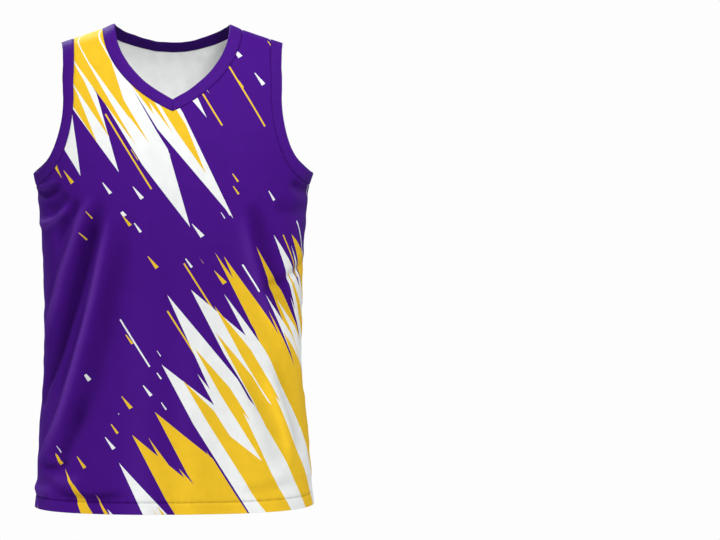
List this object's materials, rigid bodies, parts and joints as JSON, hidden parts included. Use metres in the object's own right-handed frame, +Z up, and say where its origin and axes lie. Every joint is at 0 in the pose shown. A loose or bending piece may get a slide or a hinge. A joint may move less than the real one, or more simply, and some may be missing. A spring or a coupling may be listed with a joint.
{
  "type": "basketball jersey",
  "caption": "Sleeveless basketball jersey with a V neck, bound neck and armholes and a turned-up hem, filled out as if worn.",
  "frame": {"origin": "midway between the two shoulder straps, level with the middle of their shoulder seams, where the wearer's shoulders carry the jersey", "axes": "+X towards the wearer's left, -Y out of the front, +Z up; the hem is at z = -0.707 m"},
  "size_m": [0.4217, 0.2505, 0.7255],
  "materials": {
    "panel_cloth": "light polyester knit, printed purple with gold and white",
    "binding_cloth": "plain purple polyester knit, folded double"
  },
  "bodies": {
    "root": {"front_panel": "panel_cloth", "back_panel": "panel_cloth", "neck_binding": "binding_cloth", "armhole_binding_right": "binding_cloth", "armhole_binding_left": "binding_cloth"}
  },
  "joints": []
}
